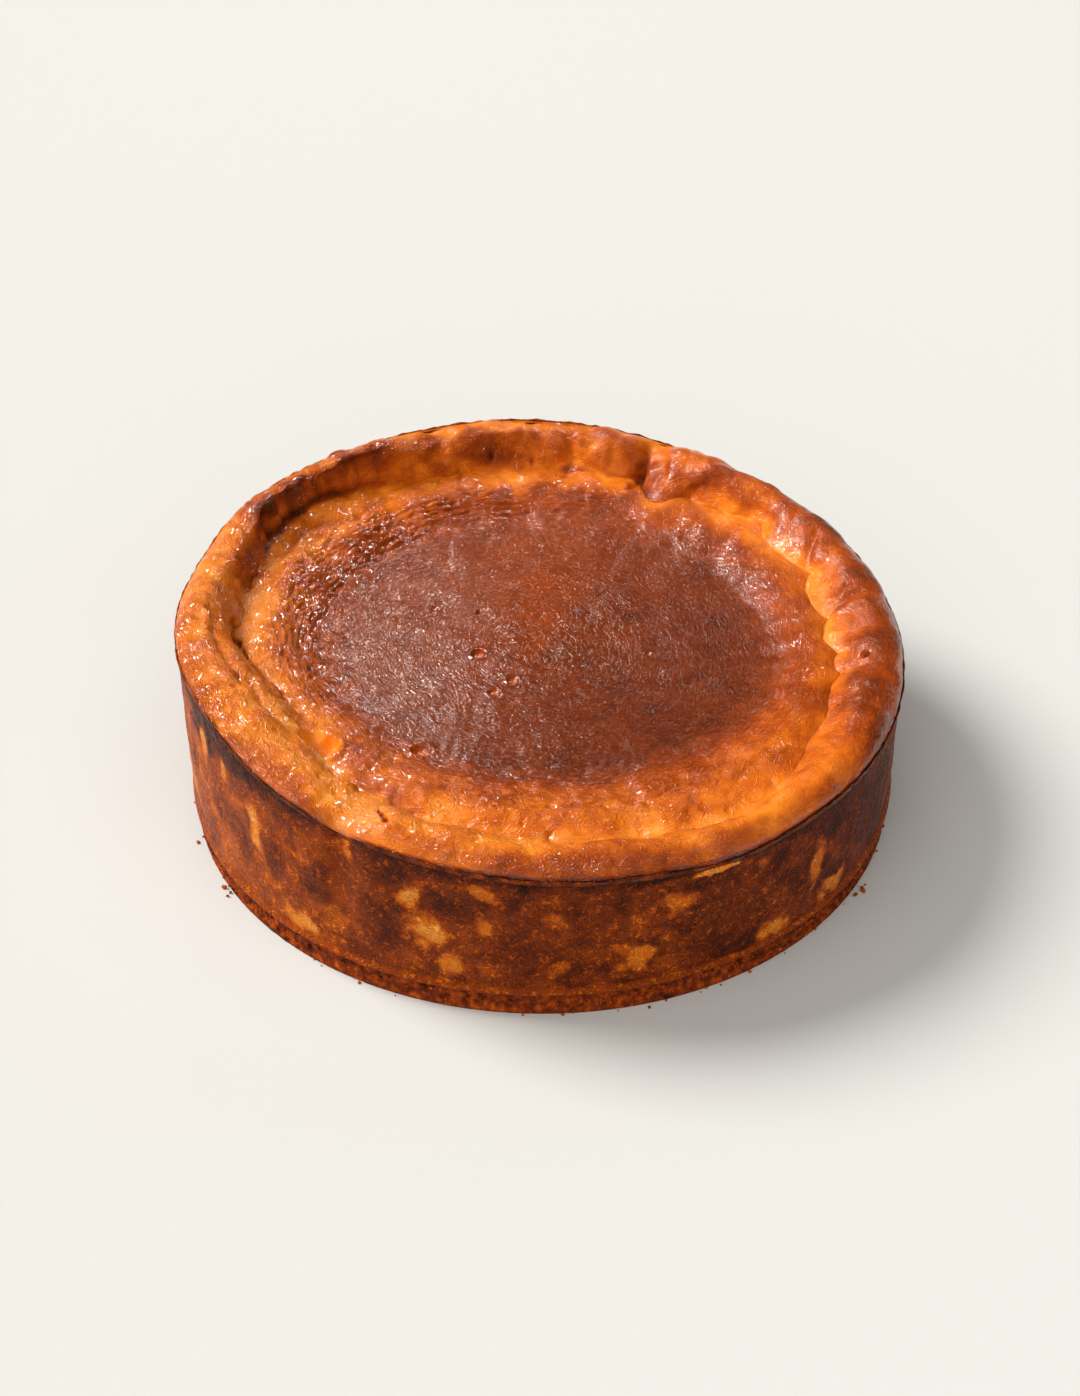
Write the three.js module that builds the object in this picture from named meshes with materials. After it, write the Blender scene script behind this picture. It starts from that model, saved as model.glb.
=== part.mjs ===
// A whole burnt basque cheesecake on a thin crumb base, in millimetres, +Z up.
// The origin is the middle of the underside. Angles run anticlockwise from +X
// seen from above, so 90 degrees is the back and 270 degrees is the front.
import * as THREE from "three";

// Driving dimensions.
const cakeRadius = 115;
const crumbBaseHeight = 8;
const crumbBaseInset = 1.2;
const layerGap = 0.3;
const anglesRound = 120;

// Heights of the baked top, each measured from the underside.
const rimEdgeHeight = {
  mean: 59.6,
  tilt: 8.6,
  highAt: 150,
  swells: [
    { at: 88, width: 30, rise: 3.4 },
    { at: 165, width: 12, rise: -3 },
    { at: 208, width: 15, rise: 5.2 },
    { at: 238.8, width: 3.4, rise: -3 },
    { at: 272, width: 22, rise: -1.6 },
    { at: 300, width: 9, rise: -1.8 },
  ],
};
const foldCrestHeight = {
  mean: 64.2,
  tilt: 6.4,
  highAt: 143,
  swells: [
    { at: 14, width: 8, rise: -1 },
    { at: 50, width: 8, rise: 1.2 },
    { at: 67.5, width: 3.4, rise: -2.8 },
    { at: 88, width: 5, rise: -1.2 },
    { at: 110, width: 5, rise: -1.2 },
    { at: 165, width: 10, rise: -1.4 },
    { at: 206, width: 15, rise: 3.2 },
    { at: 238, width: 5, rise: -3 },
    { at: 282, width: 18, rise: -0.8 },
  ],
};
const creaseHeight = {
  mean: 55,
  tilt: 2.2,
  highAt: 140,
  swells: [
    { at: 70, width: 4, rise: -1.6 },
    { at: 118, width: 4, rise: -0.8 },
    { at: 138, width: 14, rise: 3 },
    { at: 182, width: 5, rise: -1 },
    { at: 222, width: 16, rise: 1.6 },
    { at: 275, width: 20, rise: -0.6 },
  ],
};
const shoulderHeight = {
  mean: 56.6,
  tilt: 1,
  highAt: 170,
  swells: [
    { at: 20, width: 26, rise: -0.6 },
    { at: 93, width: 26, rise: -1.2 },
    { at: 182, width: 24, rise: 0.9 },
    { at: 250, width: 16, rise: 0.9 },
    { at: 305, width: 26, rise: -0.8 },
  ],
};
const discHeight = 50.3;
const discDish = { mean: 1, tilt: 0.4, highAt: 280, swells: [] };

// Distances of the baked top's features from the middle, as shares of cakeRadius.
const rimEdgeReach = {
  mean: 1.011,
  tilt: 0.002,
  highAt: 200,
  swells: [
    { at: 30, width: 14, rise: 0.006 },
    { at: 150, width: 12, rise: 0.006 },
    { at: 238.8, width: 3, rise: -0.022 },
  ],
};
const foldCrestReach = {
  mean: 0.944,
  tilt: 0.003,
  highAt: 140,
  swells: [
    { at: 57, width: 7, rise: -0.02 },
    { at: 138, width: 16, rise: 0.014 },
    { at: 220, width: 18, rise: -0.02 },
    { at: 303, width: 12, rise: 0.018 },
  ],
};
const creaseReach = {
  mean: 0.868,
  tilt: 0.022,
  highAt: 110,
  swells: [
    { at: 71, width: 4, rise: 0.012 },
    { at: 138, width: 16, rise: 0.045 },
    { at: 190, width: 12, rise: -0.02 },
    { at: 211, width: 17, rise: -0.115 },
    { at: 240, width: 7, rise: -0.04 },
    { at: 264, width: 14, rise: -0.015 },
    { at: 303, width: 11, rise: 0.052 },
    { at: 322, width: 9, rise: 0.02 },
  ],
};
const shoulderReach = {
  mean: 0.783,
  tilt: 0.03,
  highAt: 85,
  swells: [
    { at: 14, width: 14, rise: -0.03 },
    { at: 150, width: 16, rise: 0.02 },
    { at: 213, width: 12, rise: -0.06 },
    { at: 300, width: 16, rise: 0.02 },
  ],
};
const discReach = {
  mean: 0.64,
  tilt: 0.06,
  highAt: 75,
  swells: [
    { at: 36, width: 26, rise: -0.06 },
    { at: 213, width: 20, rise: -0.02 },
    { at: 330, width: 20, rise: 0.01 },
  ],
};
// Pillows of the fold that bulge inwards over the crease.
const foldPillows = [
  { at: 3, width: 7, bulge: 0.074 },
  { at: 15.5, width: 8.5, bulge: 0.08 },
  { at: 32.5, width: 9, bulge: 0.05 },
  { at: 54, width: 7, bulge: 0.034 },
  { at: 64.5, width: 5.5, bulge: 0.095 },
  { at: 80, width: 8.5, bulge: 0.016 },
  { at: 97, width: 9.5, bulge: 0.02 },
  { at: 173, width: 5, bulge: 0.02 },
  { at: 197, width: 8, bulge: 0.02 },
  { at: 329, width: 11, bulge: 0.022 },
  { at: 344, width: 9, bulge: 0.036 },
];
const narrowestShoulder = 0.028;
const narrowestSlope = 0.07;

const rowsUpSide = 6;
const rowsOverFold = 6;
const rowsOnSlope = 3;
const rowsOnDisc = 4;

function radians(degrees) {
  return (degrees * Math.PI) / 180;
}

// A value that leans to one side of the cake and swells or dips at given angles.
function around(angle, { mean, tilt, highAt, swells }) {
  let value = mean + tilt * Math.cos(radians(angle - highAt));
  for (const { at, width, rise } of swells) {
    const away = ((angle - at + 540) % 360) - 180;
    value += rise * Math.exp(-((away / width) ** 2));
  }
  return value;
}

// How far the pillows of the fold bulge inwards at an angle.
function pillowBulge(angle) {
  let most = 0;
  for (const { at, width, bulge } of foldPillows) {
    const away = (((angle - at + 540) % 360) - 180) / width;
    most = Math.max(most, bulge * Math.max(0, 1 - away * away) ** 0.8);
  }
  return most;
}

// A quarter of an ellipse: 1 where share is 0, falling steeply to 0 where share is 1.
function quarterRound(share) {
  return Math.sqrt(Math.max(0, 1 - share * share));
}

function smoothStep(share) {
  return share * share * (3 - 2 * share);
}

// Points (distance from the middle, height) of a section at one angle, from the
// middle of the underside out, up the side, over the fold and in across the top.
function cakeSection(angle) {
  const underside = crumbBaseHeight + layerGap;
  const edge = new THREE.Vector2(
    cakeRadius * around(angle, rimEdgeReach),
    around(angle, rimEdgeHeight),
  );
  const innerReach = around(angle, creaseReach) - pillowBulge(angle);
  const crease = new THREE.Vector2(
    cakeRadius * innerReach,
    around(angle, creaseHeight),
  );
  const crest = new THREE.Vector2(
    cakeRadius * around(angle, foldCrestReach),
    around(angle, foldCrestHeight),
  );
  const shoulder = new THREE.Vector2(
    cakeRadius *
      Math.min(around(angle, shoulderReach), innerReach - narrowestShoulder),
    around(angle, shoulderHeight),
  );
  const disc = new THREE.Vector2(
    cakeRadius *
      Math.min(around(angle, discReach), innerReach - narrowestSlope),
    discHeight + around(angle, discDish),
  );
  const points = [
    new THREE.Vector2(0, underside),
    new THREE.Vector2(cakeRadius * 0.5, underside),
    new THREE.Vector2(cakeRadius - 1, underside),
    new THREE.Vector2(cakeRadius, underside + 1),
  ];
  for (let row = 1; row <= rowsUpSide; row++) {
    const share = row / rowsUpSide;
    points.push(
      new THREE.Vector2(
        THREE.MathUtils.lerp(cakeRadius, edge.x, share),
        THREE.MathUtils.lerp(underside + 1, edge.y, share),
      ),
    );
  }
  for (let row = 1; row <= 2 * rowsOverFold; row++) {
    const turn = radians((90 * (row - rowsOverFold)) / rowsOverFold);
    const foot = turn < 0 ? edge : crease;
    points.push(
      new THREE.Vector2(
        crest.x + (foot.x - crest.x) * Math.abs(Math.sin(turn)),
        foot.y + (crest.y - foot.y) * Math.cos(turn),
      ),
    );
  }
  for (const share of [0.94, 0.7, 0.35, 0]) {
    points.push(
      new THREE.Vector2(
        THREE.MathUtils.lerp(shoulder.x, crease.x, share),
        THREE.MathUtils.lerp(crease.y, shoulder.y, quarterRound(share)),
      ),
    );
  }
  for (let row = 1; row <= rowsOnSlope; row++) {
    const share = row / rowsOnSlope;
    points.push(
      new THREE.Vector2(
        THREE.MathUtils.lerp(shoulder.x, disc.x, share),
        THREE.MathUtils.lerp(shoulder.y, disc.y, smoothStep(share)),
      ),
    );
  }
  for (let row = 1; row <= rowsOnDisc; row++) {
    const share = row / rowsOnDisc;
    points.push(
      new THREE.Vector2(
        disc.x * (1 - share),
        THREE.MathUtils.lerp(disc.y, discHeight, smoothStep(share)),
      ),
    );
  }
  return points;
}

function crumbBaseSection() {
  const reach = cakeRadius - crumbBaseInset;
  return [
    new THREE.Vector2(0, 0),
    new THREE.Vector2(reach - 0.8, 0),
    new THREE.Vector2(reach, 0.8),
    new THREE.Vector2(reach, crumbBaseHeight - 0.8),
    new THREE.Vector2(reach - 0.8, crumbBaseHeight),
    new THREE.Vector2(0, crumbBaseHeight),
  ];
}

// A lathe whose section changes with the angle: every ring vertex is moved to its
// place in the section at that angle, and the lathe's own axis is turned to +Z.
function turnedBody(sectionAt) {
  const pointsInSection = sectionAt(0).length;
  const geometry = new THREE.LatheGeometry(sectionAt(0), anglesRound);
  const place = geometry.attributes.position;
  for (let step = 0; step <= anglesRound; step++) {
    const angle = (360 * (step % anglesRound)) / anglesRound;
    sectionAt(angle).forEach((point, row) => {
      place.setXYZ(
        step * pointsInSection + row,
        point.x * Math.cos(radians(angle)),
        point.x * Math.sin(radians(angle)),
        point.y,
      );
    });
  }
  geometry.deleteAttribute("uv");
  geometry.computeVertexNormals();
  return geometry;
}

function makeCake() {
  const material = new THREE.MeshStandardMaterial({
    color: 0x9a4a1c,
    roughness: 0.38,
    metalness: 0,
  });
  const mesh = new THREE.Mesh(turnedBody(cakeSection), material);
  mesh.name = "cake";
  return mesh;
}

function makeCrumbBase() {
  const material = new THREE.MeshStandardMaterial({
    color: 0x6b3a1a,
    roughness: 0.85,
    metalness: 0,
  });
  const mesh = new THREE.Mesh(turnedBody(crumbBaseSection), material);
  mesh.name = "crumb_base";
  return mesh;
}

const cheesecake = new THREE.Group();
cheesecake.add(makeCake(), makeCrumbBase());

export default cheesecake;
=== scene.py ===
import math
import random

import bmesh
import bpy
import numpy as np
from mathutils import Matrix, Vector


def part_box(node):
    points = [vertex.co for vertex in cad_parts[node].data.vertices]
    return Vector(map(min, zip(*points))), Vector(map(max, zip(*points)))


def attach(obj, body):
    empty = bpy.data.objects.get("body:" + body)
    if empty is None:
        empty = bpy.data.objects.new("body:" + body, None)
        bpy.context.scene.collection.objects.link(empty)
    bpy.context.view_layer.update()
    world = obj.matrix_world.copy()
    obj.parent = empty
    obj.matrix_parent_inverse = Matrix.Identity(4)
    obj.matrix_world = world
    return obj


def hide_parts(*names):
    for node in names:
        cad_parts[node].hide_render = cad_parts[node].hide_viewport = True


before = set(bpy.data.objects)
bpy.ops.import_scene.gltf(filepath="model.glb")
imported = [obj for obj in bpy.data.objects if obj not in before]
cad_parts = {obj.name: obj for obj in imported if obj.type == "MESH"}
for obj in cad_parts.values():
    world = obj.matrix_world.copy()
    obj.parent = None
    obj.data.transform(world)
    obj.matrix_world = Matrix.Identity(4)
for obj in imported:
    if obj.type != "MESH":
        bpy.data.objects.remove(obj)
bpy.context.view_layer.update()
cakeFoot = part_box("cake")[0].z
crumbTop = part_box("crumb_base")[1].z
mm = 0.001

# the camera, the lights and the floor
viewLook = {
    "distance": 0.821,
    "elevation": 37.2,  # degrees above the table
    "aim": (-0.0007, 0.0, 0.0316),
    "lens": 64.5,
}
lightLook = {
    # degrees round from +X and above the table, strength, and softness in degrees
    "window": (157.0, 43.0, 4.1, 28.0),
    "sheen": (157.0, 43.0, 1.1, 38.0),  # seen in reflections only
    "fill": (262.0, 48.0, 2.0, 90.0),
    "windowColour": (1.0, 0.965, 0.91),
    "sheenColour": (1.0, 0.78, 0.60),
    "fillColour": (1.0, 0.94, 0.87),
    # lamps seen in reflections only: the same four values, the place aimed at, and the cone in degrees
    "glints": (
        (157.0, 43.0, 3.8, 17.0, (-0.064, -0.034, 0.06), 15.5),
        (122.0, 46.0, 1.8, 10.0, (-0.060, -0.045, 0.06), 16.0),
        (62.0, 42.0, 1.6, 10.0, (-0.068, 0.040, 0.06), 13.0),
        (157.0, 43.0, 0.35, 12.0, (0.065, 0.020, 0.06), 15.0),
        (110.0, 44.0, 0.8, 9.0, (-0.010, 0.080, 0.06), 9.0),
        (122.0, 46.0, 1.3, 9.0, (0.010, -0.085, 0.06), 12.0),
    ),
    "glintColour": (1.0, 0.94, 0.88),
    "glintEdge": 0.9,  # how softly a glint's cone ends
    "backLight": ((-0.140, 0.90, 0.69), (0.12, 0.11), 0.44),  # place, size in m, watts
    "backColour": (1.0, 0.76, 0.60),
    "skyColour": (1.0, 0.985, 0.955),
    "skyStrength": 0.19,
    "seenSky": 0.90,  # how bright the sky looks behind the floor
    "floorSize": 6.0,
    "floorColour": (0.578, 0.588, 0.584),
}


def newObject(name, bm):
    mesh = bpy.data.meshes.new(name)
    bm.to_mesh(mesh)
    bm.free()
    made = bpy.data.objects.new(name, mesh)
    bpy.context.scene.collection.objects.link(made)
    return made


def makeCamera():
    data = bpy.data.cameras.new("camera")
    data.lens = viewLook["lens"]
    data.sensor_width = 36.0
    data.clip_start = 0.01
    camera = bpy.data.objects.new("camera", data)
    bpy.context.scene.collection.objects.link(camera)
    tilt = math.radians(viewLook["elevation"])
    back = Vector((0.0, -math.cos(tilt), math.sin(tilt)))
    camera.location = Vector(viewLook["aim"]) + back * viewLook["distance"]
    camera.rotation_euler = (math.pi / 2 - tilt, 0.0, 0.0)
    bpy.context.scene.camera = camera


def newLamp(name, kind, strength, colour, toLight):
    light = bpy.data.lights.new(name, kind)
    light.energy = strength
    light.color = colour
    lamp = bpy.data.objects.new(name, light)
    bpy.context.scene.collection.objects.link(lamp)
    lamp.rotation_euler = toLight.to_track_quat("Z", "Y").to_euler()
    lamp.visible_camera = False
    return lamp


def wayTo(turn, height):
    # from the cake to a light, given in degrees round and above the table
    turn, height = math.radians(turn), math.radians(height)
    return Vector((math.cos(turn) * math.cos(height), math.sin(turn) * math.cos(height), math.sin(height)))


def makeSuns():
    for name in ("window", "sheen", "fill"):
        turn, height, strength, softness = lightLook[name]
        lamp = newLamp(name, "SUN", strength, lightLook[name + "Colour"], wayTo(turn, height))
        lamp.data.angle = math.radians(softness)
        lamp.visible_glossy = name == "sheen"
        lamp.visible_diffuse = name != "sheen"


def makeGlints():
    for index, (turn, height, strength, softness, aim, cone) in enumerate(lightLook["glints"]):
        toLight = wayTo(turn, height)
        watts = strength * 4 * math.pi
        lamp = newLamp("glint%d" % index, "SPOT", watts, lightLook["glintColour"], toLight)
        lamp.location = Vector(aim) + toLight
        lamp.data.shadow_soft_size = math.tan(math.radians(softness / 2))
        lamp.data.spot_size = math.radians(cone)
        lamp.data.spot_blend = lightLook["glintEdge"]
        lamp.visible_diffuse = False


def makeBackLight():
    place, size, watts = lightLook["backLight"]
    lamp = newLamp("backLight", "AREA", watts, lightLook["backColour"], Vector(place))
    lamp.location = place
    lamp.data.shape = "RECTANGLE"
    lamp.data.size, lamp.data.size_y = size


def makeSky():
    # a faint sky that reflections leave out, and that looks pale behind the floor
    world = bpy.data.worlds.new("studio")
    bpy.context.scene.world = world
    world.use_nodes = True
    world.cycles_visibility.glossy = False
    nodes, links = world.node_tree.nodes, world.node_tree.links
    sky = nodes["Background"]
    sky.inputs["Color"].default_value = (*lightLook["skyColour"], 1.0)
    seen = nodes.new("ShaderNodeLightPath").outputs["Is Camera Ray"]
    strength = nodes.new("ShaderNodeMapRange")
    strength.inputs["To Min"].default_value = lightLook["skyStrength"]
    strength.inputs["To Max"].default_value = lightLook["seenSky"]
    links.new(seen, strength.inputs["Value"])
    links.new(strength.outputs["Result"], sky.inputs["Strength"])


def makeFloor():
    bm = bmesh.new()
    bmesh.ops.create_grid(bm, x_segments=1, y_segments=1, size=lightLook["floorSize"])
    floor = newObject("floor", bm)
    material = bpy.data.materials.new("floorPaper")
    material.use_nodes = True
    shader = material.node_tree.nodes["Principled BSDF"]
    shader.inputs["Base Color"].default_value = (*lightLook["floorColour"], 1.0)
    shader.inputs["Roughness"].default_value = 0.9
    shader.inputs["Specular IOR Level"].default_value = 0.1
    floor.data.materials.append(material)


makeCamera()
makeSuns()
makeGlints()
makeBackLight()
makeSky()
makeFloor()
bpy.context.scene.view_settings.view_transform = "Standard"
print("stage set")

# soft noise, and values that change round the cake
grain = np.random.default_rng(7)
noiseTurns = grain.permutation(256)
noiseSlopes = grain.normal(size=(256, 3))
noiseSlopes /= np.linalg.norm(noiseSlopes, axis=1)[:, None]


def softNoise(points):
    cell = np.floor(points).astype(int)
    part = points - cell
    blend = part ** 3 * (part * (part * 6 - 15) + 10)
    total = np.zeros(len(points))
    for corner in range(8):
        step = np.array((corner & 1, corner >> 1 & 1, corner >> 2 & 1))
        index = (cell + step) & 255
        pick = noiseTurns[(noiseTurns[(noiseTurns[index[:, 0]] + index[:, 1]) & 255] + index[:, 2]) & 255]
        weight = np.prod(np.where(step, blend, 1 - blend), axis=1)
        total += weight * np.einsum("ij,ij->i", noiseSlopes[pick], part - step)
    return total * 1.6


def cloud(points, size, octaves=2, shift=0.0):
    # soft noise of about -1 to 1, with lumps of the given size in millimetres
    total = 0.0
    for octave in range(octaves):
        total = total + softNoise(points / (size * mm) * 2 ** octave + shift + 19.7 * octave) * 0.55 ** octave
    return total


def bell(share):
    return np.exp(-share ** 2)


def dome(share):
    return np.maximum(0.0, 1 - share ** 2) ** 0.8


def swell(at, width, rise, form=bell):
    return {"at": at, "width": width, "rise": rise, "form": form}


def apart(angle, at):
    return (angle - at + 540.0) % 360.0 - 180.0


def around(angle, lean):
    # a value that changes round the cake: (mean, tilt, angle of the high side, swells)
    mean, tilt, highAt, swells = lean
    value = mean + tilt * np.cos(np.radians(angle - highAt))
    for one in swells:
        value = value + one["rise"] * one["form"](apart(angle, one["at"]) / one["width"])
    return value


def easeIn(low, high, value):
    share = np.clip((value - low) / (high - low), 0.0, 1.0)
    return share * share * (3.0 - 2.0 * share)


def mix(first, second, share):
    return first + (second - first) * share


def wobble(angle, size, shift):
    # an uneven wander round the cake
    turn = np.radians(angle)
    ring = np.stack([np.cos(turn), np.sin(turn), np.zeros_like(turn)], 1) * 0.9 * cakeRadius
    return cloud(ring, size, 2, shift)


def planPoint(angle, reach):
    turn = math.radians(angle)
    return np.array((math.cos(turn), math.sin(turn))) * reach * cakeRadius


def nearLine(plan, start, end):
    # distance of each plan point from a straight stretch
    run = end - start
    share = np.clip((plan - start) @ run / (run @ run), 0.0, 1.0)
    return np.linalg.norm(plan - start - share[:, None] * run, axis=1)


# the cake's top: a sunken disc, slope, shoulder, crease and rolled rim
# Angles run in degrees from +X towards the back, +Y. A reach is a share of the radius, and heights are in mm.
cakeRadius = 0.115
topShape = {
    "rings": 148,  # rings of faces from the middle of the top to the rim's edge
    "breaks": (0.34, 0.58, 0.69, 0.86, 1.0),  # shares of the rings: disc, slope, shoulder, roll in, roll out
    "cap": (0.97, 44.0),  # the skin is closed inside the cake: how much smaller, and at what height
    "fineBubbles": 8,  # how many bubbles, from the first, get a finer mesh
    "fineSplit": (244.0, 0.925, 3.0),  # the split in the roll gets one too: angle, reach, radius
    "edgeHeight": (59.6, 8.6, 150, (
        swell(88, 30, 3.4), swell(165, 12, -3.0), swell(208, 15, 5.2), swell(272, 22, -1.6),
        swell(300, 9, -1.8), swell(238.8, 2.8, -3.4))),
    "crestHeight": (64.2, 6.4, 143, (
        swell(88, 5, -1.2), swell(67.5, 2.6, -2.8), swell(50, 8, 1.2), swell(110, 5, -1.2),
        swell(120, 3, 0.8), swell(165, 10, -1.4), swell(206, 15, 3.2), swell(238, 5, -3.0),
        swell(14, 8, -1.0), swell(282, 18, -0.8), swell(33, 7, 0.5, dome), swell(20, 6, 0.3, dome),
        swell(8, 6, 0.3, dome), swell(355, 7, 0.3, dome), swell(130, 8, 0.8, dome),
        swell(146, 8, 0.6, dome), swell(185, 9, 0.6, dome), swell(60, 7, 1.2, dome))),
    "edgeReach": (1.011, 0.002, 200, (
        swell(30, 14, 0.006), swell(150, 12, 0.006), swell(238.8, 2.6, -0.022))),
    "crestReach": (0.944, 0.003, 140, (
        swell(220, 18, -0.02), swell(303, 12, 0.018), swell(57, 7, -0.02), swell(138, 16, 0.014))),
    "creaseReach": (0.868, 0.022, 110, (
        swell(138, 16, 0.045), swell(211, 17, -0.115), swell(240, 7, -0.04), swell(303, 11, 0.052),
        swell(264, 14, -0.015), swell(322, 9, 0.02), swell(190, 12, -0.02), swell(71, 4, 0.012))),
    "creaseLobes": (  # pillows of the roll that push the crease inwards
        swell(64.5, 5.5, 0.095, dome), swell(54.0, 7.0, 0.034, dome), swell(32.5, 9.0, 0.050, dome),
        swell(15.5, 8.5, 0.080, dome), swell(3, 7.0, 0.074, dome), swell(354, 4.5, 0.040, dome),
        swell(344, 9.0, 0.036, dome), swell(329, 11.0, 0.022, dome), swell(80, 8.5, 0.016, dome),
        swell(97, 9.5, 0.020, dome), swell(112, 6.0, 0.010, dome), swell(160, 8, 0.012, dome),
        swell(173, 5, 0.020, dome), swell(184, 4, 0.014, dome), swell(197, 8, 0.020, dome)),
    "lobeFade": 2.4,  # how fast a pillow's bulge fades up the roll
    "creaseHeight": (55.0, 2.2, 140, (
        swell(138, 14, 3.0), swell(118, 4, -0.8), swell(222, 16, 1.6), swell(275, 20, -0.6),
        swell(70, 4, -1.6), swell(182, 5, -1.0))),
    "shoulderHeight": (56.6, 1.0, 170, (
        swell(182, 24, 0.9), swell(93, 26, -1.2), swell(305, 26, -0.8), swell(20, 26, -0.6),
        swell(250, 16, 0.9))),
    "shoulderReach": (0.783, 0.03, 85, (
        swell(213, 12, -0.06), swell(14, 14, -0.03), swell(150, 16, 0.02), swell(300, 16, 0.02))),
    "narrowestShoulder": 0.028,
    "discReach": (0.640, 0.060, 75, (swell(213, 20, -0.02), swell(330, 20, 0.01), swell(36, 26, -0.06))),
    "narrowestSlope": 0.07,
    "discHeight": 50.3,
    "discRise": (1.0, 0.4, 280, ()),  # how much higher the disc's edge is than its middle
    "lean": (0.0, 0.0, 0, (swell(60, 16, 8.0), swell(10, 20, 4.0))),  # degrees that the pillows lean by
    "pinch": (0.72, 0.2, 170, (  # how sharply the shoulder and the roll turn into the crease
        swell(285, 28, -0.4), swell(245, 14, -0.2), swell(93, 20, -0.45), swell(20, 30, 0.1),
        swell(217, 9, -0.6))),
    "lumpy": (0.66, 0.50, 180, (  # how lumpy the roll is, round the cake
        swell(92, 26, 0.25), swell(280, 30, 0.15), swell(145, 18, 0.3))),
    "wander": {  # waves of each line: strength, size, shift, and whether they grow where the roll is lumpy
        "crestReach": ((0.006, 14, 3.0, False),),
        "creaseReach": ((0.009, 12, 1.0, False), (0.0035, 4, 2.0, True)),
        "shoulderReach": ((0.009, 13, 6.0, False), (0.004, 5, 7.0, True)),
        "discReach": ((0.010, 16, 4.0, False), (0.003, 7, 5.0, False)),
        "crestHeight": ((0.5, 9, 8.0, True),),
        "creaseHeight": ((0.7, 8, 9.0, True),),
        "shoulderHeight": ((0.5, 9, 10.0, True),),
    },
}
# grooves, and ridges where the depth is below 0: from angle and reach, to angle and reach, half width, depth
topGrooves = (
    (152, 0.872, 141, 0.888, 1.7, 1.5), (141, 0.888, 132, 0.822, 1.9, 1.9),
    (132, 0.822, 123, 0.862, 1.6, 1.5), (122.0, 0.965, 119.5, 0.90, 2.6, 0.4),
    (165, 0.885, 150, 0.930, 1.5, 1.4), (150, 0.930, 136, 0.962, 1.7, 2.0),
    (136, 0.962, 122, 0.935, 1.9, 2.2), (84.5, 0.955, 85, 0.865, 1.9, 1.5),
    (69.5, 0.96, 71, 0.84, 1.6, 2.2), (182, 0.86, 191, 0.815, 1.3, 1.2), (231, 0.778, 247, 0.822, 2.6, 1.1),
    (247, 0.822, 262, 0.812, 2.2, 0.6), (262, 0.755, 283, 0.748, 1.6, 0.7),
    (288, 0.745, 306, 0.742, 1.5, 0.8), (310, 0.79, 322, 0.78, 1.5, 0.8), (176, 0.93, 190, 0.90, 1.4, 0.7),
    (192, 0.90, 204, 0.87, 1.4, 0.8), (196, 0.795, 206, 0.79, 1.3, 0.9), (202, 0.845, 209, 0.85, 1.0, 1.0),
    (209, 0.85, 213, 0.835, 0.9, 0.9), (242.7, 0.903, 245.4, 0.948, 0.75, 1.8),
    (244.4, 0.925, 246.4, 0.918, 0.5, 0.5), (212, 0.815, 216, 0.800, 2.0, -1.2),
    (225, 0.745, 224.5, 0.790, 1.5, -0.9), (216, 0.725, 221, 0.715, 1.5, -0.8),
    (30, 0.93, 26, 0.86, 1.6, 0.8), (12, 0.93, 9.5, 0.83, 1.5, 0.7), (352, 0.93, 351, 0.85, 1.5, 0.7),
)
# dark stretches, painted shade inside the split in the roll and in the cleft where the back-left roll ends:
# from angle and reach, to angle and reach, half width, how much darker
topScars = (
    (242.5, 0.900, 245.6, 0.950, 0.6, 0.42), (121.0, 0.930, 122.5, 0.935, 3.0, 0.06),
)
# burst bubbles and pits: angle, reach, radius, depth, rim (mm); bubbles are paler inside, and pits, with no
# rim, get painted shade
topBubbles = (
    (183.0, 0.180, 2.5, 1.3, 0.45), (235.0, 0.563, 3.3, 1.3, 0.50), (238.0, 0.155, 2.0, 0.8, 0.28),
    (235.0, 0.232, 2.1, 0.6, 0.26), (160.0, 0.440, 1.1, 0.6, 0.1), (146.0, 0.376, 1.3, 0.7, 0.1),
    (133.0, 0.270, 1.2, 0.9, 0.0), (358.0, 0.298, 1.1, 0.6, 0.12), (354.0, 0.900, 1.6, 1.6, 0.0),
    (182.0, 0.850, 1.8, 1.6, 0.0), (190.0, 0.820, 1.5, 1.3, 0.0), (252.0, 0.640, 1.8, 0.6, 0.2),
    (262.0, 0.690, 1.5, 0.5, 0.15), (205.0, 0.905, 1.2, 0.9, 0.0), (201.0, 0.870, 1.4, 1.0, 0.0),
    (198.0, 0.880, 1.0, 0.8, 0.0), (177.0, 0.862, 1.5, 1.4, 0.0), (186.5, 0.835, 1.3, 1.2, 0.0),
    (195.0, 0.812, 1.4, 1.2, 0.0), (199.0, 0.822, 1.2, 1.3, 0.0), (203.5, 0.838, 1.5, 1.4, 0.0),
    (207.0, 0.850, 1.3, 1.3, 0.0), (210.5, 0.856, 1.2, 1.0, 0.0), (186.0, 0.665, 1.3, 1.0, 0.0),
    (190.0, 0.655, 1.2, 1.1, 0.0), (194.0, 0.650, 1.4, 1.0, 0.0), (198.0, 0.640, 1.2, 1.0, 0.0),
    (203.0, 0.645, 1.3, 1.0, 0.0), (207.5, 0.640, 1.2, 0.8, 0.0), (230.0, 0.83, 1.3, 0.8, 0.0),
    (340.0, 0.86, 1.1, 0.7, 0.0), (15.0, 0.90, 1.2, 0.8, 0.0), (100.0, 0.90, 1.2, 0.8, 0.0),
    (92.0, 0.89, 1.1, 0.7, 0.0),
)
# hollows, smooth where they are deeper than 2 mm: angle, reach, radius, depth
topHollows = (
    (219.2, 0.772, 4.2, 2.4), (221.6, 0.760, 3.8, 2.6), (83.0, 0.80, 6.0, 0.7), (292.0, 0.785, 4.0, 0.6),
)
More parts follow.
